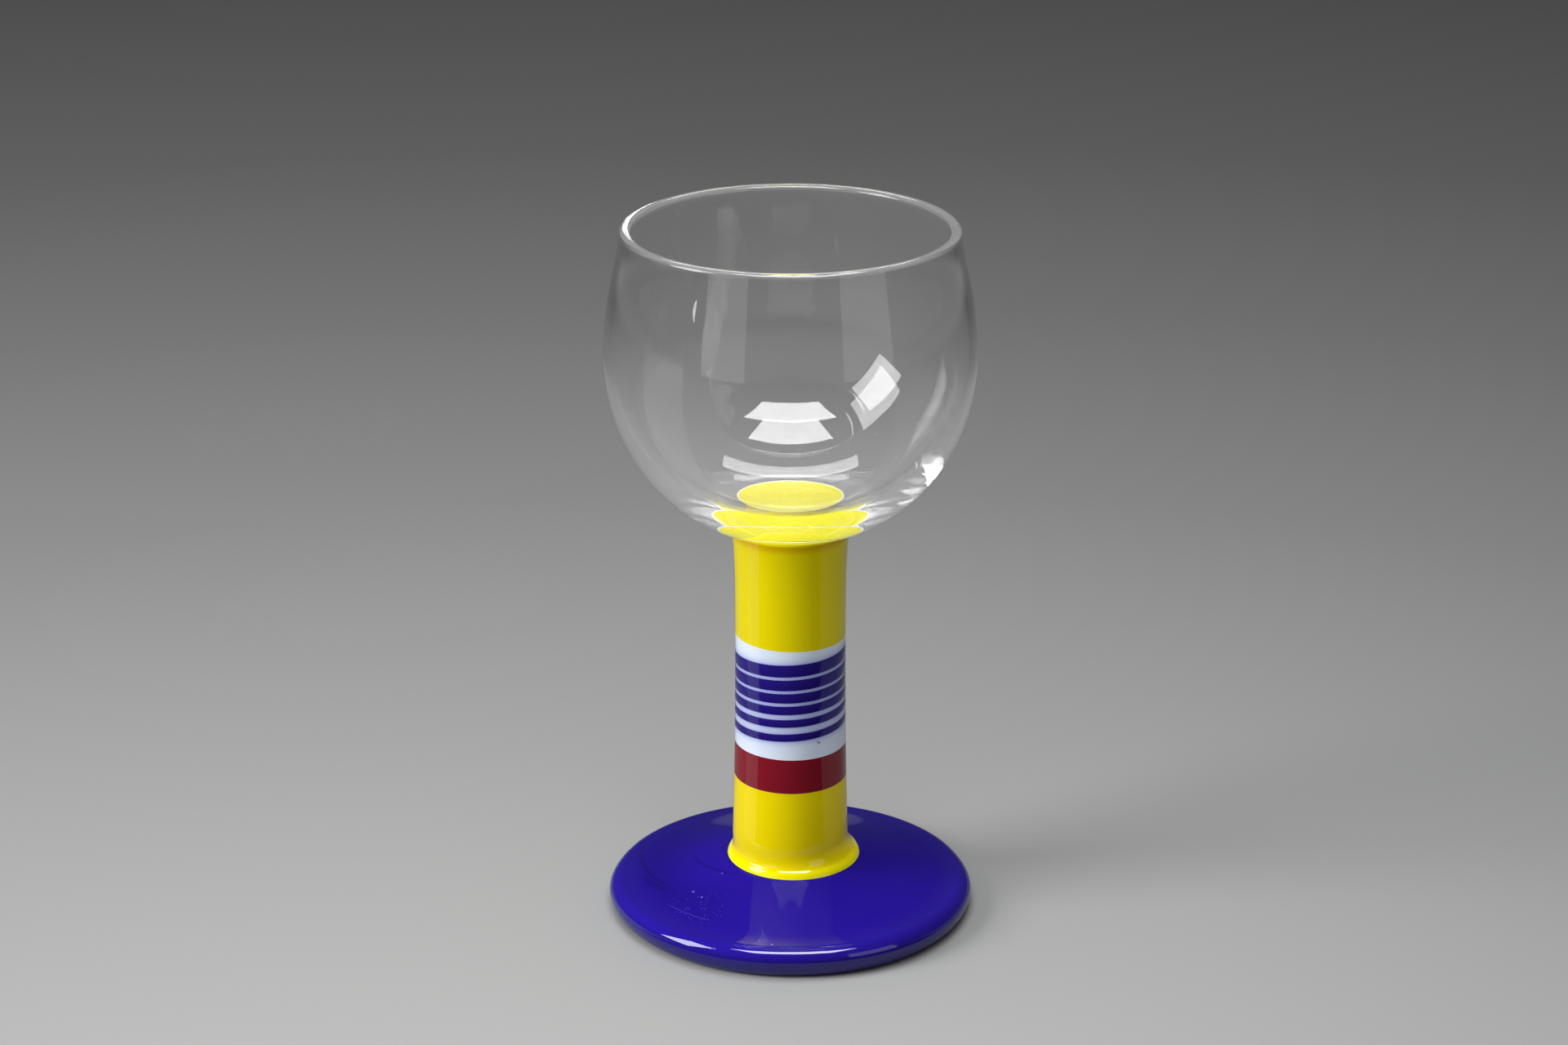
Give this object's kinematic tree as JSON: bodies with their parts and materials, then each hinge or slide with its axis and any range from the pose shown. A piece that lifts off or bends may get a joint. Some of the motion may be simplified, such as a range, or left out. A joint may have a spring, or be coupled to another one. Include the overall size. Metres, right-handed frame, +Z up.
{
  "type": "goblet",
  "caption": "Stemmed drinking goblet: clear rounded glass bowl on a thick opaque stem with inlaid colour bands and a wound thread, standing on a broad round foot.",
  "frame": {"origin": "centre of the plane that the foot's flat ring stands on", "axes": "+Z up along the stem towards the bowl's mouth; -Y is the side that the picture shows"},
  "size_m": [0.088, 0.088, 0.1711],
  "materials": {
    "clear_glass": "fire-polished clear glass",
    "yellow_glass": "glossy opaque yellow glass",
    "white_glass": "glossy opal white glass",
    "thread_glass": "glossy opaque dark blue glass",
    "red_glass": "glossy opaque red glass",
    "foot_glass": "glossy opaque violet-blue glass"
  },
  "bodies": {
    "root": {"bowl": "clear_glass", "stem": "yellow_glass", "white_band": "white_glass", "blue_thread": "thread_glass", "red_band": "red_glass", "foot": "foot_glass"}
  },
  "joints": []
}
